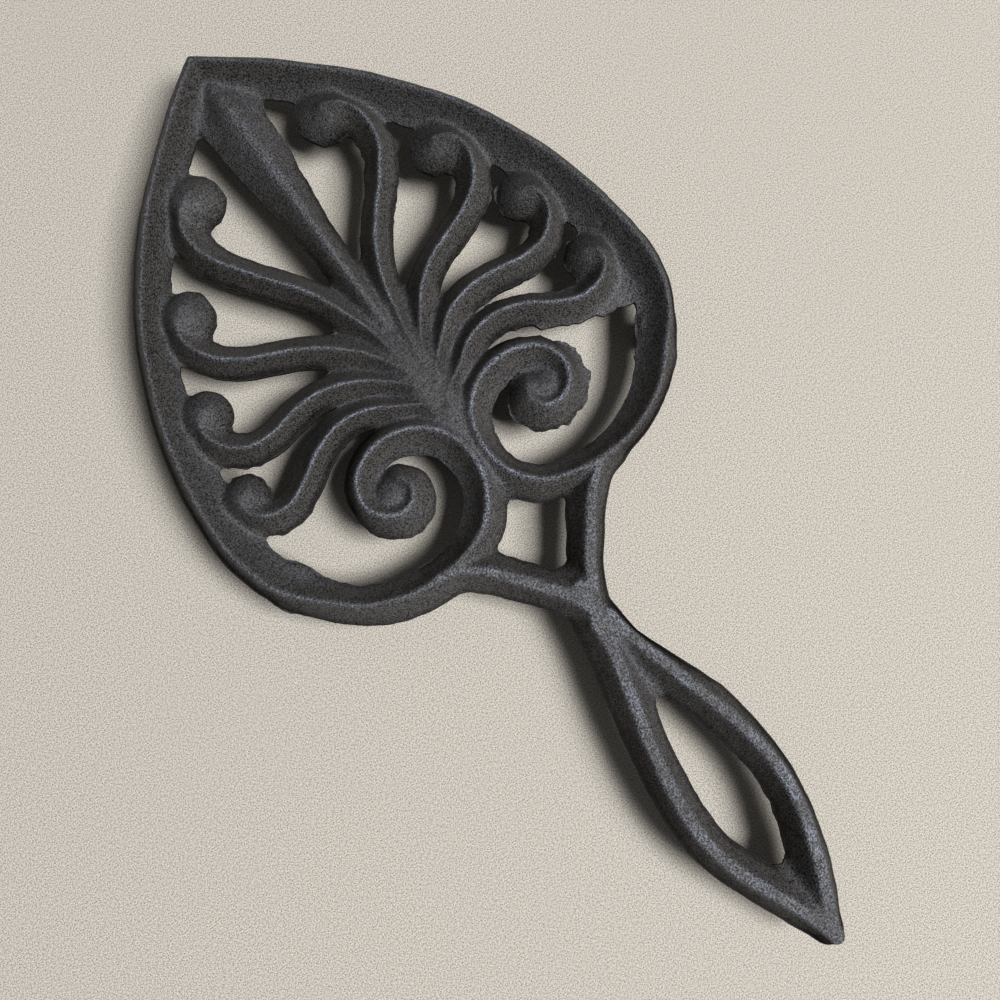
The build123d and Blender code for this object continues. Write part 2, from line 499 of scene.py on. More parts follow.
@dataclass
class Palmette:
    """Hub, spear and the four fronds of each side."""

    fronds: Sequence[Points] = (
        (
            (1.2, 31.0), (2.4, 38.5), (3.6, 44.6), (5.7, 51.9), (9.0, 59.2), (13.5, 65.9),
            (18.6, 72.5), (22.4, 79.0), (23.6, 84.6), (23.0, 88.8), (20.9, 92.0), (17.4, 94.2),
        ),
        (
            (1.6, 29.5), (3.6, 35.0), (7.3, 41.0), (12.0, 46.2), (17.6, 50.2), (23.8, 53.1),
            (29.8, 56.0), (34.6, 60.0), (37.3, 65.0), (37.6, 68.6), (36.2, 71.6), (33.2, 73.4),
        ),
        (
            (1.6, 26.5), (4.0, 30.2), (8.4, 34.4), (13.8, 38.1), (20.4, 40.0), (27.2, 39.7),
            (34.2, 38.6), (40.2, 39.4), (44.4, 43.0), (45.8, 47.6), (44.8, 50.6), (42.2, 51.6),
        ),
        (
            (1.4, 23.0), (4.0, 24.8), (8.0, 27.2), (13.4, 30.5), (20.2, 31.8), (27.2, 30.0),
            (33.8, 26.0), (39.8, 23.6), (45.0, 24.6), (48.2, 28.2), (48.0, 31.0), (46.0, 32.0),
        ),
    )
    frond_upper: Sizes = (3.0, 3.4, 3.9, 4.0, 4.0, 4.0, 4.0, 4.0, 4.0, 4.0, 3.9, 3.6)
    frond_lower: Sizes = (3.0, 3.2, 3.4, 3.2, 3.1, 3.1, 3.2, 3.4, 3.8, 4.0, 3.9, 3.6)
    flank_extra: dict[Side, Pair] = per_side((0.45, 0.0), (0.0, 0.45))
    frond_drift: dict[Side, float] = per_side(0.5, -0.5)
    hook_shift: dict[Side, Points] = per_side(
        ((0.0, 0.0),) * 4, ((0.8, -0.6), (1.0, -0.7), (0.0, 0.0), (0.0, 0.0))
    )
    frond_sink: Sizes = (1.4, 0.9, 0.45, 0.15, 0.0, 0.0, 0.0, 0.0)
    hook_sink: dict[Side, Sequence[Sizes]] = per_side(
        ((0.1, 0.7, 1.9, 3.2),) * 4, ((0.0, 0.1, 0.4, 1.5),) * 2 + ((0.0, 0.4, 1.7, 3.2),) * 2
    )
    frond_notch: Sequence[Sizes | float] = (
        2.4, 2.4, 2.4, (2.4, 2.4, 2.0, 0.8, 0.5, 0.5, 0.5, 1.2, 2.4, 2.4, 2.4, 2.4)
    )
    # Along each frond: wear with painted sheen on the crest, and painted shade where it is low, at the root
    # by the hub
    frond_polish_and_sheen: Sizes = (0.0, 0.1, 0.4, 0.9, 1.0, 1.0, 1.0, 1.0, 0.9, 0.6, 0.3, 0.1)
    frond_burr: Sizes = (0.35, 0.35, 0.35, 0.45)
    bulb_places: Points = ((17.4, 93.4), (34.0, 72.3), (43.6, 51.6), (47.3, 31.2))
    bulb_radii: Sizes = (6.5, 6.1, 5.6, 5.1)
    bulb_rise: dict[Side, float] = per_side(6.6, 6.3)
    bulb_lean: dict[Side, float] = per_side(0.55, 0.75)
    # Painted sheen on the lit left bulbs; the right bulbs get none, and so full painted shade on their pads,
    # which face away from the light
    bulb_sheen_and_shade: dict[Side, float] = per_side(0.3, 0.0)
    spear: Points = (
        (0.0, 44.0), (0.0, 59.5), (0.2, 72.0), (0.3, 82.0), (0.3, 92.0), (0.2, 99.0), (0.1, 104.0),
        (0.0, 108.5), (0.0, 112.0),
    )
    spear_left: Sizes = (3.2, 3.8, 4.4, 5.6, 6.9, 7.2, 6.6, 4.8, 3.0)
    spear_right: Sizes = (3.2, 3.8, 4.1, 5.1, 6.3, 6.8, 6.4, 4.8, 3.0)
    spear_sink: Sizes = (1.2, 0.6, 0.2, 0.0, 0.0, 0.1, 0.5, 2.0, 4.0)
    tip_web_place: Pair = (0.0, 106.3)
    tip_web_radius: float = 7.8
    tip_web_rise: float = 2.6
    hub: Points = ((0.0, 16.0), (0.0, 24.0), (0.0, 30.0), (0.0, 36.0), (0.0, 41.0), (0.0, 46.0))
    hub_reach: Sizes = (4.4, 7.6, 9.5, 9.5, 8.0, 5.5)
    hub_sink: Sizes = (2.0, 1.1, 0.7, 0.9, 1.5, 2.6)

    def middle(self) -> Iterator[Member]:
        """Members on the middle line."""
        reach, sink = self.hub_reach, self.hub_sink
        yield Ridge("palmette_hub", self.hub, Crown.FAN, reach, reach, sink, polish_and_sheen=0.15)
        left, right = self.spear_left, self.spear_right
        yield Ridge("spear", self.spear, Crown.LEAF, left, right, self.spear_sink, polish_and_sheen=0.5)
        yield Dome("spear", self.tip_web_place, self.tip_web_radius, self.tip_web_rise)

    def members(self, side: Side) -> Iterator[Member]:
        """Members of one half of the palmette.

        Args:
            side: Half of the pattern.

        Yields:
            Each frond's ridge and bulb.
        """
        drift = self.frond_drift[side]
        wide_upper, wide_lower = self.flank_extra[side]
        ends = len(self.frond_upper) - 1
        upper = [size + wide_upper * (1 < spot < ends) for spot, size in enumerate(self.frond_upper)]
        lower = [size + wide_lower * (1 < spot < ends - 3) for spot, size in enumerate(self.frond_lower)]
        for row, crest in enumerate(self.fronds):
            node = f"frond_{row + 1}_{side.value}"
            shift_x, shift_y = self.hook_shift[side][row]
            points = []
            for spot, (x, y) in enumerate(crest):
                share = min(max((spot - 4) / 3.0, 0.0), 1.0)
                points.append((x + drift * (spot > 2) + share * shift_x, y + share * shift_y))
            bulb_x, bulb_y = self.bulb_places[row]
            place = (bulb_x + drift + 0.4 * shift_x, bulb_y)
            hook = zip(points[-3], points[-2], place)
            lean = tuple(self.bulb_lean[side] * (0.5 * (a + b) - c) for a, b, c in hook)
            sink, burr = [*self.frond_sink, *self.hook_sink[side][row]], self.frond_burr[row]
            yield Ridge(
                node, points, Crown.FROND, upper, lower, sink, burr, burr,
                notch=self.frond_notch[row], polish_and_sheen=self.frond_polish_and_sheen,
            )
            yield Dome(
                node, place, self.bulb_radii[row], self.bulb_rise[side], lean,
                fullness=0.80, burr=burr, fillet=3.0, polish_and_sheen=self.bulb_sheen_and_shade[side],
            )


@dataclass
class Handle:
    """Neck bars, stem and the two arms of the leaf-shaped loop."""

    neck: Points = ((24.0, -7.9), (19.4, -9.0), (15.0, -12.2), (9.2, -19.2), (3.4, -27.0), (0.8, -31.5))
    neck_reach: Sizes = (3.6, 4.4, 4.9, 4.6, 4.5, 4.5)
    neck_slim: dict[Side, Sizes] = per_side((0.0,) * 6, (0.0, 0.3, 0.7, 0.8, 0.8, 0.8))
    neck_top: Sizes = (0.15, 0.3, 0.6, 0.9, 1.0, 1.0)
    neck_notch: Sizes = (2.0, 2.0, 2.0, 3.0, 4.0, 1.0)
    stem: Points = ((0.0, -28.0), (0.0, -38.5))
    stem_reach: Pair = (4.4, 5.3)
    arm: Points = (
        (1.7, -36.0), (2.5, -42.0), (5.5, -53.4), (8.4, -64.4), (10.4, -74.0), (11.0, -81.0),
        (10.0, -91.4), (6.5, -101.6), (2.4, -111.0), (0.0, -117.3),
    )
    arm_outer: dict[Side, Sizes] = per_side(
        (4.6, 4.7, 4.9, 4.4, 4.1, 4.1, 4.2, 4.3, 4.1, 3.3),
        (2.2, 2.0, 3.2, 4.5, 3.8, 3.4, 3.5, 4.1, 4.3, 3.3),
    )
    arm_inner: Sizes = (4.6, 5.3, 5.3, 4.7, 4.9, 4.7, 4.4, 4.7, 5.4, 3.2)
    arm_burr: Sizes = (0.10, 0.10, 0.20, 0.35, 0.35, 0.35, 0.30, 0.08, 0.05, 0.05)
    arm_notch: Sizes = (1.0, 2.0, 5.0, 2.4, 2.4, 2.4, 2.4, 5.0, 3.0, 0.5)

    def middle(self) -> Iterator[Member]:
        """Members on the middle line."""
        yield Ridge("handle_stem", self.stem, Crown.STEM, *self.stem_reach, polish_and_sheen=0.8)

    def members(self, side: Side) -> Iterator[Member]:
        """Members of one half of the handle.

        Args:
            side: Half of the pattern.

        Yields:
            The neck bar and the handle arm.
        """
        outer = [size - slim for size, slim in zip(self.neck_reach, self.neck_slim[side])]
        yield Ridge(
            f"neck_bar_{side.value}", self.neck, Crown.BAR, outer, self.neck_reach, 0.0, 0.12, 0.30,
            notch=self.neck_notch, top=self.neck_top, polish_and_sheen=0.75,
        )
        outer = self.arm_outer[side]
        yield Ridge(
            f"handle_arm_{side.value}", self.arm, Crown.BAR, outer, self.arm_inner, 0.0, 0.10, self.arm_burr,
            fillet=4.5, notch=self.arm_notch, polish_and_sheen=0.8,
        )


@dataclass
class NodeBench:
    """Adds nodes to a tree and wires them up."""

    tree: bpy.types.NodeTree

    def wire(self, node: bpy.types.Node, given: dict[str | int, Any]) -> None:
        """Set a node's inputs, each from another node's socket or from a plain value."""
        for name, value in given.items():
            if isinstance(value, Socket):
                self.tree.links.new(value, node.inputs[name])
            else:
                node.inputs[name].default_value = value

    def add(self, kind: str, given: dict[str | int, Any] | None = None, **traits: Any) -> bpy.types.Node:
        """Add a node.

        Args:
            kind: Blender's name for the kind of node.
            given: Socket or value for its inputs.
            traits: Settings of the node itself.

        Returns:
            The node.
        """
        node = self.tree.nodes.new(kind)
        for name, value in traits.items():
            setattr(node, name, value)
        self.wire(node, given or {})
        return node

    def maths(self, kind: str, *values: Socket | float) -> Socket:
        """Values put together by a maths operation."""
        return self.add("ShaderNodeMath", dict(enumerate(values)), operation=kind).outputs["Value"]

    def times(self, first: Socket, second: Socket) -> Socket:
        """Product of two colours, or of a colour and a value."""
        node = self.add("ShaderNodeVectorMath", {0: first, 1: second}, operation="MULTIPLY")
        return node.outputs["Vector"]

    def noise(self, size: float, detail: float, rough: float) -> Socket:
        """Noise on the piece, whose main spots are of a size in mm."""
        place = self.add("ShaderNodeTexCoord").outputs["Object"]
        given = {"Vector": place, "Scale": 1.0 / (size * MM), "Detail": detail, "Roughness": rough}
        return self.add("ShaderNodeTexNoise", given).outputs["Fac"]

    def attribute(self, name: str) -> Socket:
        """Value painted on the mesh by the form."""
        return self.add("ShaderNodeAttribute", attribute_name=name).outputs["Fac"]

    def ramp(self, value: Socket, low: float, high: float) -> Socket:
        """Value eased so that low is 0 and high is 1."""
        given = {"Value": value, "From Min": low, "From Max": high}
        return self.add("ShaderNodeMapRange", given, interpolation_type="SMOOTHSTEP").outputs["Result"]

    def spread(self, value: Socket, low: float, high: float, span: Pair = (0.0, 1.0)) -> Socket:
        """Value stretched evenly from its own span to the range low to high."""
        given = {"Value": value, "From Min": span[0], "From Max": span[1], "To Min": low, "To Max": high}
        return self.add("ShaderNodeMapRange", given).outputs["Result"]

    def blend(self, share: Socket, first: Socket | Triple, second: Socket | Triple) -> Socket:
        """Colour between two colours."""
        node = self.add("ShaderNodeMix", {"Factor": share}, data_type="RGBA")
        slots = [slot for slot, socket in enumerate(node.inputs) if socket.type == "RGBA"]
        for slot, colour in zip(slots, (first, second)):
            self.wire(node, {slot: (*colour, 1.0) if isinstance(colour, tuple) else colour})
        return next(socket for socket in node.outputs if socket.type == "RGBA")

    def bump(self, height: Socket, strength: float, depth: float, **under: Socket) -> Socket:
        """Relief of a depth in mm, over any other relief."""
        given = {"Height": height, "Strength": strength, "Distance": depth * MM, **under}
        return self.add("ShaderNodeBump", given).outputs["Normal"]


def new_material(name: str) -> tuple[bpy.types.Material, NodeBench]:
    """New node material, and the bench for its tree."""
    made = bpy.data.materials.new(name)
    made.use_nodes = True
    return made, NodeBench(made.node_tree)


def placed(name: str, data: bpy.types.ID) -> bpy.types.Object:
    """New object in the scene, at the origin."""
    made = bpy.data.objects.new(name, data)
    bpy.context.scene.collection.objects.link(made)
    return made


@dataclass(frozen=True)
class IronFinish:
    """Dark as-cast iron: sand grain, brown bloom on steep flanks and in patches, crests worn to grey with a
    painted bluish sheen, and painted shade on steep flanks, in hollows and where unpolished.
    """

    name: str = "cast_iron"
    skin: Triple = (0.0415, 0.0425, 0.0475)
    bloom: Triple = (0.0500, 0.0468, 0.0425)
    # Worn crests: grey of bare iron with a painted bluish sheen standing for the window's reflection
    worn_and_sheen: Triple = (0.190, 0.212, 0.268)
    skin_roughness: float = 0.50
    worn_roughness: float = 0.38
    worn_metal: float = 0.55
    top_gloss: float = 0.38
    grain_size: float = 0.38
    pit_size: float = 1.5
    cloud_size: float = 11.0
    cloud_bloom: float = 0.6
    steep_bloom: float = 0.7
    # Painted shade: the colour falls to steep_shade on upright flanks and rises by slope_shade towards level
    # tops
    steep_shade: float = 0.26
    slope_shade: float = 0.76
    # Painted shade in hollows
    hollow_shade: float = 0.75
    # Painted shade where the pattern's polish is low, as on the rim, the hub and the right bulbs' pads
    painted_shade_strength: float = 0.42
    speckle: Pair = (0.15, 2.30)

    def material(self) -> bpy.types.Material:
        """Build the node material.

        Returns:
            The finished material.
        """
        made, bench = new_material(self.name)
        grain = bench.noise(self.grain_size, 3.0, 0.6)
        pits = bench.noise(self.pit_size, 4.0, 0.65)
        cloud = bench.ramp(bench.noise(self.cloud_size, 3.0, 0.55), 0.48, 0.76)
        wear_and_sheen, level = bench.attribute("wear_and_sheen"), bench.attribute("level")
        flat, gentle = bench.ramp(level, 0.35, 0.92), bench.ramp(level, 0.08, 0.50)

        steep = bench.maths("MULTIPLY", bench.maths("SUBTRACT", flat, 1.0), -self.steep_bloom)
        brown = bench.maths("MAXIMUM", bench.maths("MULTIPLY", cloud, self.cloud_bloom), steep)
        speckle = bench.spread(grain, *self.speckle, span=(0.38, 0.62))
        tint = bench.times(bench.blend(brown, self.skin, self.bloom), speckle)
        # Painted shade where the pattern's polish is low
        painted_shade_factor = bench.maths("MULTIPLY_ADD", bench.attribute("painted_shade"), -self.painted_shade_strength, 1.0)
        # Painted shade in hollows, darker the deeper the spot lies
        hollow_painted_shade = bench.maths("MULTIPLY_ADD", bench.attribute("hollow"), -self.hollow_shade, 1.0)
        # Painted shade on steep flanks, darker as the surface turns upright
        slope = bench.maths("MULTIPLY_ADD", gentle, self.slope_shade, self.steep_shade)
        tint = bench.times(tint, bench.maths("MULTIPLY", slope, bench.maths("MULTIPLY", hollow_painted_shade, painted_shade_factor)))
        # Crest wear broken up by the grain: partly bare metal, partly a painted sheen and glints
        bare_and_glint = bench.ramp(bench.maths("MULTIPLY_ADD", wear_and_sheen, 0.06, grain), 0.50, 0.66)
        rubbed_and_sheen = bench.maths("MULTIPLY", wear_and_sheen, bare_and_glint)
        sheen = bench.maths("MAXIMUM", rubbed_and_sheen, bench.maths("MULTIPLY", wear_and_sheen, 0.5))
        relief = bench.bump(grain, 0.95, 0.30, Normal=bench.bump(pits, 0.55, 0.45))
        bench.wire(
            made.node_tree.nodes["Principled BSDF"],
            {
                "Base Color": bench.blend(rubbed_and_sheen, tint, self.worn_and_sheen),
                "Roughness": bench.spread(sheen, self.skin_roughness, self.worn_roughness),
                "Metallic": bench.maths("MULTIPLY", rubbed_and_sheen, self.worn_metal),
                "Specular IOR Level": bench.maths("MULTIPLY", flat, self.top_gloss),
                "Normal": relief,
            },
        )
        return made


@dataclass(frozen=True)
class CardFinish:
    """Pale warm grey card under the object."""

    name: str = "pale_card"
    colour: Triple = (0.570, 0.540, 0.490)
    fleck: Triple = (0.086, 0.079, 0.069)
    fleck_size: float = 1.0 / 3.3
    roughness: float = 0.9

    def material(self) -> bpy.types.Material:
        """Build the node material.

        Returns:
            The finished material.
        """
        made, bench = new_material(self.name)
        flecks = bench.noise(self.fleck_size, 2.0, 0.75)
        tint = bench.add("ShaderNodeValToRGB", {"Fac": flecks})
        stops = zip(tint.color_ramp.elements, (0.30, 0.62), (self.fleck, self.colour))
        for stop, position, colour in stops:
            stop.position, stop.color = position, (*colour, 1.0)
        bench.wire(
            made.node_tree.nodes["Principled BSDF"],
            {
                "Base Color": tint.outputs["Color"],
                "Roughness": self.roughness,
                "Normal": bench.bump(flecks, 0.1, 0.03),
            },
        )
        return made


@dataclass
class Skin:
    """Upper and lower spots of the whole casting in mm, their directions, and the values painted on top."""

    top: Array
    under: Array
    normal: Array
    under_normal: Array
    paint: dict[str, Array]


@dataclass
class Casting:
    """The whole casting as one surface, divided into closed pieces for the part's solids."""

    rim: Rim
    palmette: Palmette
    handle: Handle
    finish: bpy.types.Material
    grid: PlanGrid = field(default_factory=PlanGrid)
    wobble: float = 0.17
    handle_end_shift: float = 0.6
    point_shift: float = -0.3
    volute_shift: float = 0.5
    rim_shift: float = -0.55
    bank_slope: float = 1.6

    def __post_init__(self) -> None:
        """Number the nodes of the casting, and start with an empty grid."""
        self.names = sorted(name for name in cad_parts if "foot" not in name)
        size = self.grid.x.shape
        self.height, self.margin, self.plain = (np.full(size, ABSENT) for _ in range(3))
        self.node, self.polish_and_sheen = np.zeros(size, int), np.zeros(size)

    def wander(self) -> tuple[Array, Array]:
        """Plan positions as the hand-made pattern has them: slightly uneven and a little off true.

        Returns:
            Positions across and along.
        """
        grid = self.grid
        dx = self.wobble * (grid.ripple(11, 9.0) + 0.45 * grid.ripple(12, 3.2))
        dy = self.wobble * (grid.ripple(13, 9.0) + 0.45 * grid.ripple(14, 3.2))
        handle_end, point = smooth_step(103.0, 119.0, -grid.y), smooth_step(60.0, 85.0, grid.y)
        dx += self.handle_end_shift * handle_end + self.point_shift * point
        dx += self.volute_shift * np.exp(-((grid.x / 16.0) ** 2) - ((grid.y + 2.0) / 16.0) ** 2)
        rim_band = smooth_step(28.0, 48.0, np.abs(grid.x)) * smooth_step(2.0, 18.0, grid.y)
        dx += self.rim_shift * rim_band * (1.0 - smooth_step(70.0, 95.0, grid.y))
        return grid.x + dx, grid.y + dy

    def merge(self, member: Member, view: PlanView, side: Side) -> None:
        """Run one more member into the surface.

        Args:
            member: Ridge or dome, drawn in the right half.
            view: Plan positions over the whole pattern.
            side: Half of the pattern that the member is for.
        """
        turn = slice(None, None, 1 if side is Side.RIGHT else -1)
        shape = member.shape(view.seen_from(side))
        height, margin = shape.height[:, turn], shape.margin[:, turn]
        wins = height > self.height
        self.node = np.where(wins, shape.node[:, turn], self.node)
        self.polish_and_sheen = np.where(wins, shape.polish_and_sheen[:, turn], self.polish_and_sheen)
        self.height = smooth_max(self.height, height, member.fillet)
        self.plain = np.maximum(self.plain, margin)
        self.margin = smooth_max(self.margin, margin, shape.notch[:, turn])

    def model(self) -> None:
        """Work out the height, the edge and the nodes of the casting on the grid."""
        grid = self.grid
        chips = 0.55 - 1.4 * np.abs(grid.ripple(21, 3.4)) + 0.45 * grid.ripple(22, 1.2)
        view = PlanView(*self.wander(), chips * (0.8 + 0.7 * grid.ripple(23, 15.0)), self.names)
        for assembly in (self.palmette, self.handle):
            for member in assembly.middle():
                self.merge(member, view, Side.RIGHT)
        for assembly in (self.rim, self.palmette, self.handle):
            for side in Side:
                for member in assembly.members(side):
                    self.merge(member, view, side)
        bank = LEVELS.land + self.bank_slope * np.clip(self.margin, 0.0, 3.0)
        filled = smooth_step(0.05, 0.35, self.margin - self.plain) * np.maximum(bank - self.height, 0.0)
        on_handle = smooth_step(10.0, 15.0, -grid.y)
        self.height = self.height + np.where(self.margin > 0.0, filled, 0.0) * on_handle
        self.height = -smooth_max(-self.height, np.full_like(self.height, -LEVELS.rise), 0.3)
        inside = (self.margin > -0.5).astype(float)
        self.height = smooth_max(self.height, soften(self.height, inside, 3, 2) - 0.12, 0.5)
        self.height = soften(self.height, inside, 1, 1)
        self.height += 0.05 * grid.ripple(31, 0.9) + 0.07 * grid.ripple(32, 2.2)
        self.height = np.maximum(self.height, LEVELS.land + 0.15 * grid.ripple(33, 1.9))
        self.height = np.minimum(self.height, LEVELS.rise)

    def wear_and_sheen(self) -> tuple[Array, Array, Array]:
        """How worn each spot is, with the painted sheen that goes with it, how deep it lies in a hollow, and
        how much painted shade it gets where the pattern is unpolished.

        Returns:
            Wear with painted sheen, hollow depth for painted shade, and painted shade where unpolished, all
            between 0 and 1.
        """
        inside = (self.margin > 0).astype(float)
        level = soften(self.height, inside, 5, 2)
        proud = self.height - level
        # Crest wear with painted sheen, on the high and proud parts of polished members
        high = smooth_step(LEVELS.rise - 0.9, LEVELS.rise - 0.15, self.height)
        rubbed_and_sheen = soften(self.polish_and_sheen, inside, 2, 1) * (0.75 + 0.5 * self.grid.ripple(51, 4.0))
        worn_and_sheen = np.clip(rubbed_and_sheen, 0.0, 1.0) * high * (0.55 + 0.45 * smooth_step(0.05, 0.8, proud))
        # Depth in a hollow, for the painted shade there
        sunk = smooth_step(0.35, 1.8, -proud)
        # Painted shade where the pattern's polish is low, as on the rim, the hub and the right bulbs
        painted_shade = 1.0 - smooth_step(0.0, 0.6, soften(self.polish_and_sheen, inside, 4, 2))
        return worn_and_sheen, sunk, painted_shade

    def triangles(self) -> tuple[Array, Array, Array]:
        """Cover the casting with triangles, cut along its edge.

        Returns:
            Pairs of grid spots with the share of the second, triangles, and each triangle's node.
        """
        rows, columns = self.grid.x.shape
        index = np.arange(rows * columns).reshape(rows, columns)
        a, b = index[:-1, :-1].ravel(), index[:-1, 1:].ravel()
        c, d = index[1:, 1:].ravel(), index[1:, :-1].ravel()
        even = ((np.add.outer(np.arange(rows - 1), np.arange(columns - 1)) % 2) == 0).ravel()
        first = np.where(even[:, None], np.c_[a, b, c], np.c_[a, b, d])
        second = np.where(even[:, None], np.c_[a, c, d], np.c_[b, c, d])
        corners = np.concatenate([first, second])
        margin = self.margin.ravel()
        margin = np.where(np.abs(margin) < 0.04, np.where(margin < 0, -0.04, 0.04), margin)
        inside = margin[corners] > 0
        count = inside.sum(1)
        corners, inside, count = corners[count > 0], inside[count > 0], count[count > 0]
        whole = corners[count == 3]

        def turned(kept: Array, lead: Array) -> Array:
            """Corners turned so that the lead one comes first."""
            order = (lead[:, None] + np.arange(3)) % 3
            return np.take_along_axis(kept, order, 1)

        one = turned(corners[count == 1], np.argmax(inside[count == 1], 1))
        two = turned(corners[count == 2], np.argmin(inside[count == 2], 1))
        size = rows * columns

        def cut(start: Array, stop: Array) -> Array:
            """Number of the edge spot between two grid spots."""
            return size + np.minimum(start, stop) * size + np.maximum(start, stop)

        one_faces = np.c_[one[:, 0], cut(one[:, 0], one[:, 1]), cut(one[:, 0], one[:, 2])]
        near, far = cut(two[:, 0], two[:, 1]), cut(two[:, 0], two[:, 2])
        two_faces = np.concatenate([np.c_[near, two[:, 1], two[:, 2]], np.c_[near, two[:, 2], far]])
        faces = np.concatenate([whole, one_faces, two_faces])
        owner = np.concatenate([whole[:, 0], one[:, 0], two[:, 1], two[:, 1]])
        spots, faces = np.unique(faces, return_inverse=True)
        faces = faces.reshape(-1, 3)
        on_edge = spots >= size
        low = np.where(on_edge, (spots - size) // size, spots)
        high = np.where(on_edge, (spots - size) % size, spots)
        share = np.where(on_edge, margin[low] / np.where(on_edge, margin[low] - margin[high], 1.0), 0.0)
        return np.c_[low, high, share], faces, self.node.ravel()[owner]

    def settled(self, faces: Array, owner: Array) -> Array:
        """Hand triangles over to a neighbour until no piece touches itself at a single spot only.

        Args:
            faces: Triangles of the whole casting.
            owner: Node number of each triangle.

        Returns:
            Node number of each triangle.
        """
        owner = owner.copy()
        order = np.argsort(faces.ravel(), kind="stable")
        starts = np.searchsorted(faces.ravel()[order], np.arange(faces.max() + 2))
        for _ in range(20):
            moved = 0
            for number in range(len(self.names)):
                spots, times = np.unique(open_edges(faces[owner == number])[:, 0], return_counts=True)
                for spot in spots[times > 1]:
                    around = order[starts[spot] : starts[spot + 1]] // 3
                    others = owner[around][owner[around] != number]
                    fans: list[tuple[set[int], list[int]]] = []
                    for row in around[owner[around] == number]:
                        reach, rows = set(faces[row].tolist()) - {int(spot)}, [int(row)]
                        for fan in [fan for fan in fans if fan[0] & reach]:
                            fans.remove(fan)
                            reach, rows = reach | fan[0], rows + fan[1]
                        fans.append((reach, rows))
                    fans.sort(key=lambda fan: len(fan[1]))
                    for _, rows in fans[:-1] if len(others) else ():
                        owner[rows] = np.bincount(others).argmax()
                        moved += len(rows)
            if not moved:
                break
        return owner

    def pieces(self) -> Iterator[tuple[str, bpy.types.Object]]:
        """Divide the casting into closed pieces.

        Yields:
            Node name and piece.
        """
        weights, faces, owner = self.triangles()
        owner = self.settled(faces, owner)
        low, high, share = weights[:, 0].astype(int), weights[:, 1].astype(int), weights[:, 2]

        def spread(values: Array) -> Array:
            """Grid values carried to the spots."""
            flat = values.ravel()
            return flat[low] * (1.0 - share) + flat[high] * share

        worn_and_sheen, sunk, painted_shade = self.wear_and_sheen()
        back = LEVELS.back + 0.10 * self.grid.ripple(41, 2.4) + 0.08 * self.grid.ripple(42, 7.0)
        top = np.c_[spread(self.grid.x), spread(self.grid.y), LEVELS.back + spread(self.height)]
        top[:, 2] = np.minimum(top[:, 2], LEVELS.crest)
        under = np.c_[top[:, :2], spread(back)]
        normal = np.zeros_like(top)
        under_normal = np.zeros_like(top)
        for corners, target, sign in ((top, normal, 1.0), (under, under_normal, -1.0)):
            edge_1 = corners[faces[:, 1]] - corners[faces[:, 0]]
            edge_2 = corners[faces[:, 2]] - corners[faces[:, 0]]
            facing = sign * np.cross(edge_1, edge_2)
            for corner in range(3):
                np.add.at(target, faces[:, corner], facing)
            target /= np.linalg.norm(target, axis=1)[:, None]
        # Painted sheen with the crest wear, and the masks for painted shade in hollows and where unpolished
        paint = {"wear_and_sheen": spread(worn_and_sheen), "hollow": spread(sunk), "painted_shade": spread(painted_shade)}
        # Upward facing of the surface, for the painted shade on steep flanks
        paint["level"] = np.clip(normal[:, 2], 0.0, 1.0)
        skin = Skin(top, under, normal, under_normal, paint)
        for number, name in enumerate(self.names):
            yield name, self.piece(name, faces[owner == number], skin)

    def piece(self, name: str, faces: Array, skin: Skin) -> bpy.types.Object:
        """Make one closed piece of the casting.

        Args:
            name: Node that the piece stands for.
            faces: Its triangles on top.
            skin: Spots of the whole casting.

        Returns:
            The piece.
        """
        used, own = np.unique(faces, return_inverse=True)
        own = own.reshape(-1, 3)
        count = len(used)
        edge = open_edges(own)
        walls = np.c_[edge[:, 1], edge[:, 0], edge[:, 0] + count, edge[:, 1] + count]
        spots = np.concatenate([skin.top[used], skin.under[used]]) * MM
        polygons = [*own.tolist(), *(own[:, ::-1] + count).tolist(), *walls.tolist()]
        mesh = bpy.data.meshes.new(f"cast_{name}")
        mesh.from_pydata(spots.tolist(), [], polygons, shade_flat=False)
        for title, values in skin.paint.items():
            layer = mesh.attributes.new(title, "FLOAT", "POINT")
            painted = np.concatenate([values[used], np.zeros(count)])
            layer.data.foreach_set("value", painted.astype(np.float32))
        run = spots[walls[:, 0]] - spots[walls[:, 1]]
        facing = np.c_[run[:, 1], -run[:, 0], np.zeros(len(run))]
        facing /= np.maximum(np.linalg.norm(facing, axis=1)[:, None], 1e-12)
        side_normal = np.zeros((count, 3))
        for corner in (0, 1):
            np.add.at(side_normal, walls[:, corner], facing)
        side_normal /= np.maximum(np.linalg.norm(side_normal, axis=1)[:, None], 1e-12)
        facings = (skin.normal[faces], skin.under_normal[faces[:, ::-1]], side_normal[walls % count])
        directions = np.concatenate([facing.reshape(-1, 3) for facing in facings])
        mesh.normals_split_custom_set(directions.astype(np.float32))
        mesh.materials.append(self.finish)
        return placed(f"cast_{name}", mesh)


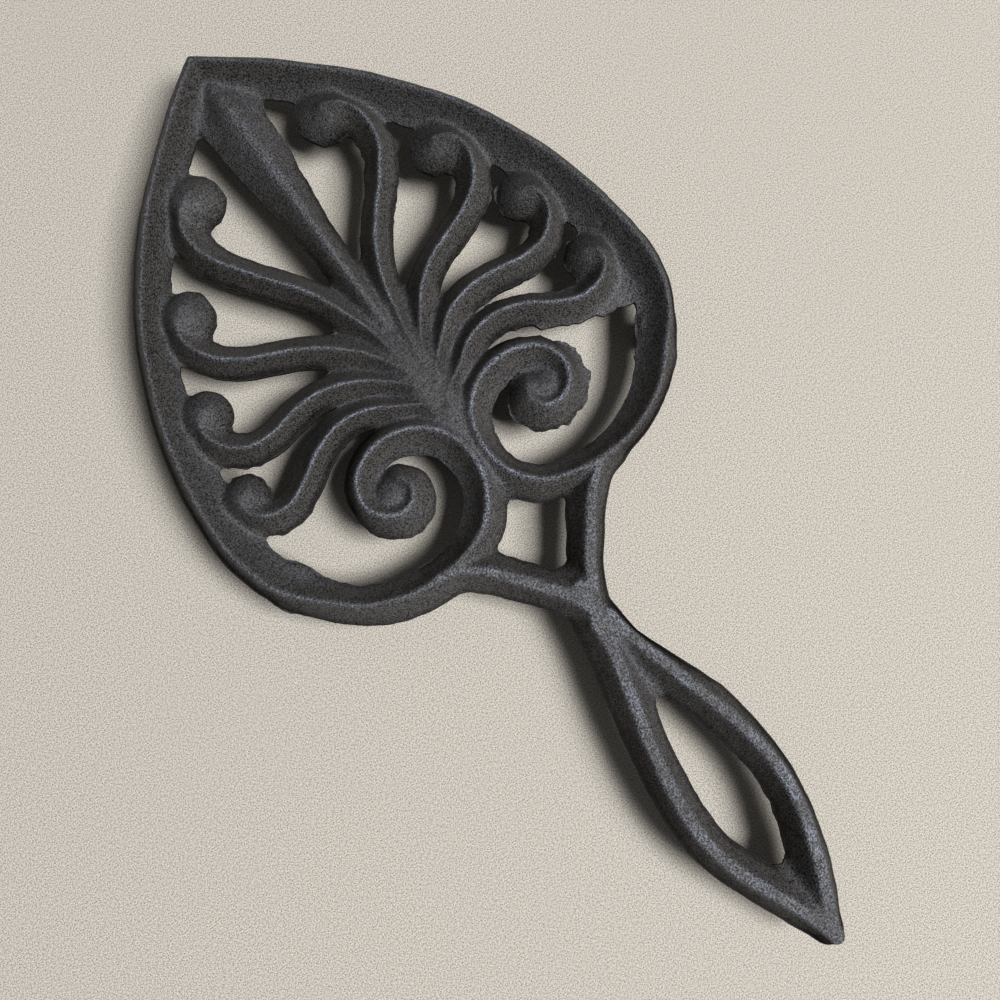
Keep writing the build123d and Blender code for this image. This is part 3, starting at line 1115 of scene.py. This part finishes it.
@dataclass
class Pegs:
    """Three tapered pegs under the casting, turned by one Geometry Nodes tree."""

    finish: bpy.types.Material
    height: float = 12.4
    top_radius: float = 4.2
    tip_radius: float = 3.2
    places: dict[str, Pair] = field(
        default_factory=lambda: {
            "rear_foot_left": (-50.0, 9.5),
            "rear_foot_right": (50.7, 9.2),
            "front_foot": (0.0, 112.0),
        }
    )

    def tree(self) -> bpy.types.NodeTree:
        """Build the tree that shapes one peg.

        Returns:
            The node tree, with the peg's sizes as named inputs.
        """
        tree = bpy.data.node_groups.new("cast_peg", "GeometryNodeTree")
        sockets = {"Place": "Vector", "Finish": "Material"}
        for title in ("Height", "Top Radius", "Tip Radius", "Place", "Seed", "Finish"):
            kind = f"NodeSocket{sockets.get(title, 'Float')}"
            tree.interface.new_socket(title, in_out="INPUT", socket_type=kind)
        tree.interface.new_socket("Peg", in_out="OUTPUT", socket_type="NodeSocketGeometry")
        bench = NodeBench(tree)
        maths = bench.maths
        size = bench.add("NodeGroupInput").outputs
        rings = {"Vertices": 72, "Side Segments": 36, "Fill Segments": 8, "Radius": 1.0, "Depth": 1.0}
        blank = bench.add("GeometryNodeMeshCylinder", rings, fill_type="TRIANGLE_FAN")
        spot = bench.add("GeometryNodeInputPosition").outputs["Position"]
        part = bench.add("ShaderNodeSeparateXYZ", {"Vector": spot}).outputs
        up = maths("ADD", part["Z"], 0.5)
        swell = bench.add("ShaderNodeFloatCurve", {"Value": up})
        curve = swell.mapping.curves[0]
        curve.points[0].location = (0.0, 0.82)
        curve.points[1].location = (1.0, 1.0)
        for place in ((0.05, 0.95), (0.14, 0.995), (0.80, 0.90), (0.93, 0.92)):
            curve.points.new(*place)
        swell.mapping.update()
        spread = maths("SUBTRACT", size["Top Radius"], size["Tip Radius"])
        taper = maths("ADD", size["Tip Radius"], maths("MULTIPLY", spread, maths("MULTIPLY", up, 1.12)))
        grains = {"Vector": spot, "W": size["Seed"], "Scale": 3.2, "Detail": 4.0}
        grain = bench.add("ShaderNodeTexNoise", grains, noise_dimensions="4D")
        rough = maths("ADD", maths("MULTIPLY", maths("SUBTRACT", grain.outputs["Fac"], 0.5), 0.09), 1.0)
        radius = maths("MULTIPLY", maths("MULTIPLY", taper, swell.outputs["Value"]), rough)
        spun = {axis: maths("MULTIPLY", part[axis], radius) for axis in "XY"}
        shape = bench.add("ShaderNodeCombineXYZ", {**spun, "Z": maths("MULTIPLY", up, size["Height"])})
        ends = {0: shape.outputs["Vector"], 1: size["Place"]}
        moved = bench.add("ShaderNodeVectorMath", ends, operation="ADD").outputs["Vector"]
        peg = blank.outputs["Mesh"]
        for kind, given in (
            ("GeometryNodeSetPosition", {"Position": moved}),
            ("GeometryNodeSetShadeSmooth", {}),
            ("GeometryNodeRealizeInstances", {}),
            ("GeometryNodeSetMaterial", {"Material": size["Finish"]}),
        ):
            peg = bench.add(kind, {"Geometry": peg, **given}).outputs["Geometry"]
        bench.add("NodeGroupOutput", {"Peg": peg})
        return tree

    def pieces(self) -> Iterator[tuple[str, bpy.types.Object]]:
        """Make the pegs.

        Yields:
            Node name and piece.
        """
        tree = self.tree()
        inputs = [item for item in tree.interface.items_tree if item.in_out == "INPUT"]
        for number, (name, place) in enumerate(self.places.items()):
            holder = placed(f"{name}_blank", bpy.data.meshes.new(f"{name}_blank"))
            shaped = holder.modifiers.new("peg", "NODES")
            shaped.node_group = tree
            given = {
                "Height": self.height * MM,
                "Top Radius": self.top_radius * MM,
                "Tip Radius": self.tip_radius * MM,
                "Place": (place[0] * MM, place[1] * MM, 0.0),
                "Seed": 1.7 + 3.1 * number,
                "Finish": self.finish,
            }
            for item in inputs:
                shaped[item.identifier] = given[item.name]
            ready = holder.evaluated_get(bpy.context.evaluated_depsgraph_get())
            mesh = bpy.data.meshes.new_from_object(ready)
            mesh.name = f"cast_{name}"
            bpy.data.objects.remove(holder)
            yield name, placed(mesh.name, mesh)


@dataclass
class Studio:
    """Floor, light and camera."""

    floor_size: float = 12.0
    camera_place: Triple = (-21.88, -16.71, 233.95)
    camera_turn: Triple = (6.0993, -1.8015, -36.4843)
    lens: float = 36.0
    world_colour: Triple = (1.0, 0.985, 0.965)
    horizon_strength: float = 0.02
    zenith_strength: float = 0.18
    window_colour: Triple = (1.0, 0.985, 0.96)
    window_place: Triple = (735.0, -885.0, 2100.0)
    window_size: Pair = (0.87, 0.87)
    window_power: float = 94.0

    def floor(self) -> bpy.types.Object:
        """Pale floor with no edge in view."""
        half = self.floor_size / 2
        corners = [(-half, -half, 0), (half, -half, 0), (half, half, 0), (-half, half, 0)]
        mesh = bpy.data.meshes.new("floor")
        mesh.from_pydata(corners, [], [(0, 1, 2, 3)])
        mesh.materials.append(CardFinish().material())
        floor = placed("floor", mesh)
        return floor

    def light(self) -> None:
        """Soft light from above, fading towards the horizon, and one window high on the right."""
        world = bpy.data.worlds.new("studio")
        world.use_nodes = True
        bench = NodeBench(world.node_tree)
        facing = bench.add("ShaderNodeTexCoord").outputs["Generated"]
        up = bench.add("ShaderNodeSeparateXYZ", {"Vector": facing}).outputs["Z"]
        strength = bench.spread(up, self.horizon_strength, self.zenith_strength)
        colour = (*self.world_colour, 1.0)
        bench.wire(world.node_tree.nodes["Background"], {"Color": colour, "Strength": strength})
        bpy.context.scene.world = world
        lamp = bpy.data.lights.new("window", "AREA")
        lamp.shape = "RECTANGLE"
        lamp.size, lamp.size_y = self.window_size
        lamp.energy = self.window_power
        lamp.color = self.window_colour
        window = placed("window", lamp)
        window.location = Vector(self.window_place) * MM
        window.rotation_euler = (-window.location).to_track_quat("-Z", "Y").to_euler()

    def camera(self) -> None:
        """Camera at the photograph's place and angle."""
        data = bpy.data.cameras.new("camera")
        data.sensor_width = 36.0
        data.lens = self.lens
        data.clip_start = 0.01
        camera = placed("camera", data)
        camera.location = Vector(self.camera_place) * MM
        camera.rotation_euler = Euler([math.radians(turn) for turn in self.camera_turn], "XYZ")
        bpy.context.scene.camera = camera


def main() -> None:
    """Build the casting, the pegs and the studio, and report each piece."""
    logging.basicConfig(level=logging.INFO, format="%(message)s")
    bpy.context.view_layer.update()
    bpy.context.scene.view_settings.view_transform = "Standard"
    finish = IronFinish()
    iron = finish.material()
    casting = Casting(Rim(), Palmette(), Handle(), iron)
    casting.model()
    for source in (casting.pieces(), Pegs(iron).pieces()):
        for name, piece in source:
            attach(piece, "root")
            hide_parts(name)
            LOG.info("%s: %d faces", piece.name, len(piece.data.polygons))
    studio = Studio()
    studio.floor()
    studio.light()
    studio.camera()


if __name__ == "__main__":
    main()
